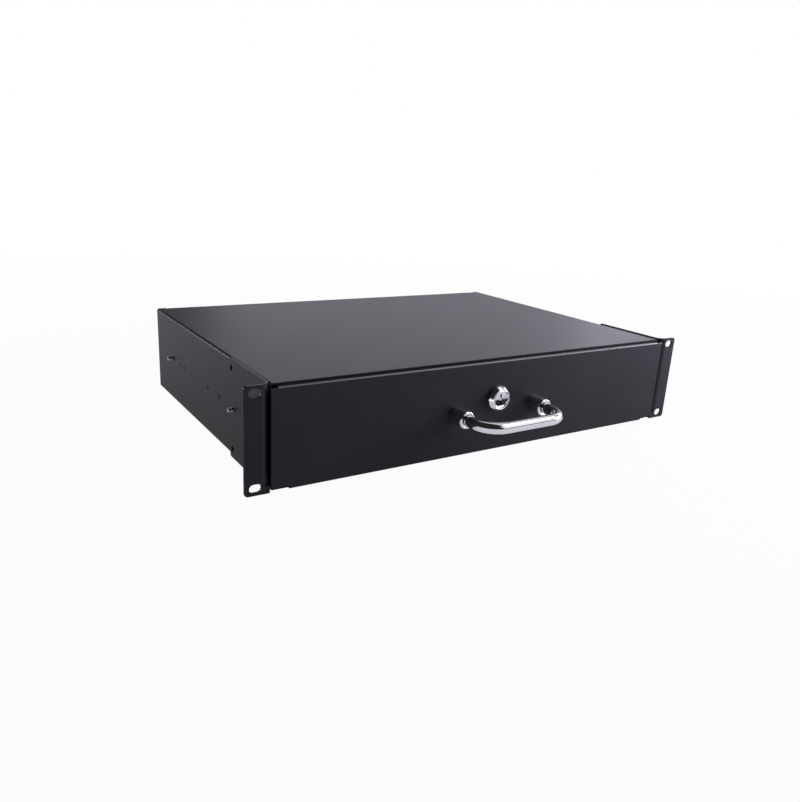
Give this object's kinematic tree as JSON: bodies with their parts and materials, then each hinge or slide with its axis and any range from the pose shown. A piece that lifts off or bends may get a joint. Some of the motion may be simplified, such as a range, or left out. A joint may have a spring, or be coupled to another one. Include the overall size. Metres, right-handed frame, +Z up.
{
  "type": "sliding rack drawer",
  "caption": "Two-unit lockable steel drawer on ball-bearing slides in a black rack-mount case, with slotted ears, a chrome bar handle and a round cam lock.",
  "frame": {"origin": "centre of the four rack slots, on the rear faces of the ears, which seat on the rack's rails", "axes": "+X to the right seen from the front, +Y to the rear of the rack, +Z up"},
  "size_m": [0.4826, 0.3625, 0.0882],
  "materials": {
    "black_powder_coat": "fine satin black powder coat",
    "polished_chrome": "polished chrome plate",
    "lock_chrome": "chrome plated die casting",
    "zinc_slide": "bright zinc plated steel strip",
    "retainer_strip": "thin zinc plated strip",
    "ball_steel": "hardened bright steel balls",
    "zinc_lock_parts": "zinc plated pressed steel",
    "zinc_fastener": "bright zinc plated screws and washers"
  },
  "bodies": {
    "case": {"case_shell": "black_powder_coat", "case_floor": "black_powder_coat", "ear_left": "black_powder_coat", "ear_right": "black_powder_coat", "strike_plate": "black_powder_coat", "slide_screws": "zinc_fastener", "slide_outer_left": "zinc_slide", "slide_outer_right": "zinc_slide"},
    "drawer": {"drawer_front": "black_powder_coat", "drawer_tray": "black_powder_coat", "handle_bar": "polished_chrome", "handle_ferrules": "polished_chrome", "handle_screws": "zinc_fastener", "lock_housing": "lock_chrome", "lock_nut": "zinc_lock_parts", "slide_inner_left": "zinc_slide", "slide_inner_right": "zinc_slide"},
    "lock_plug": {"lock_plug": "lock_chrome", "lock_cam": "zinc_lock_parts", "cam_screw": "zinc_fastener"},
    "middle_left": {"slide_middle_left": "zinc_slide"},
    "outer_retainer_left": {"outer_retainer_left": "retainer_strip", "outer_balls_left": "ball_steel"},
    "inner_retainer_left": {"inner_retainer_left": "retainer_strip", "inner_balls_left": "ball_steel"},
    "middle_right": {"slide_middle_right": "zinc_slide"},
    "outer_retainer_right": {"outer_retainer_right": "retainer_strip", "outer_balls_right": "ball_steel"},
    "inner_retainer_right": {"inner_retainer_right": "retainer_strip", "inner_balls_right": "ball_steel"}
  },
  "joints": [
    {"name": "drawer_slide", "type": "slide", "parent": "case", "child": "drawer", "axis": [0, -1, 0], "range_m": [0, 0.28]},
    {"name": "lock_turn", "type": "hinge", "parent": "drawer", "child": "lock_plug", "pos_m": [0, 0, 0.0065], "axis": [0, 1, 0], "range_deg": [0, 90]},
    {"name": "outer_retainer_left_slide", "type": "slide", "parent": "case", "child": "outer_retainer_left", "axis": [0, -1, 0], "range_m": [0, 0.07]},
    {"name": "middle_left_slide", "type": "slide", "parent": "case", "child": "middle_left", "axis": [0, -1, 0], "range_m": [0, 0.14]},
    {"name": "inner_retainer_left_slide", "type": "slide", "parent": "case", "child": "inner_retainer_left", "axis": [0, -1, 0], "range_m": [0, 0.21]},
    {"name": "outer_retainer_right_slide", "type": "slide", "parent": "case", "child": "outer_retainer_right", "axis": [0, -1, 0], "range_m": [0, 0.07]},
    {"name": "middle_right_slide", "type": "slide", "parent": "case", "child": "middle_right", "axis": [0, -1, 0], "range_m": [0, 0.14]},
    {"name": "inner_retainer_right_slide", "type": "slide", "parent": "case", "child": "inner_retainer_right", "axis": [0, -1, 0], "range_m": [0, 0.21]}
  ],
  "couplings": [
    {"joint": "outer_retainer_left_slide", "follows": "drawer_slide", "ratio": 0.25},
    {"joint": "middle_left_slide", "follows": "drawer_slide", "ratio": 0.5},
    {"joint": "inner_retainer_left_slide", "follows": "drawer_slide", "ratio": 0.75},
    {"joint": "outer_retainer_right_slide", "follows": "drawer_slide", "ratio": 0.25},
    {"joint": "middle_right_slide", "follows": "drawer_slide", "ratio": 0.5},
    {"joint": "inner_retainer_right_slide", "follows": "drawer_slide", "ratio": 0.75}
  ]
}
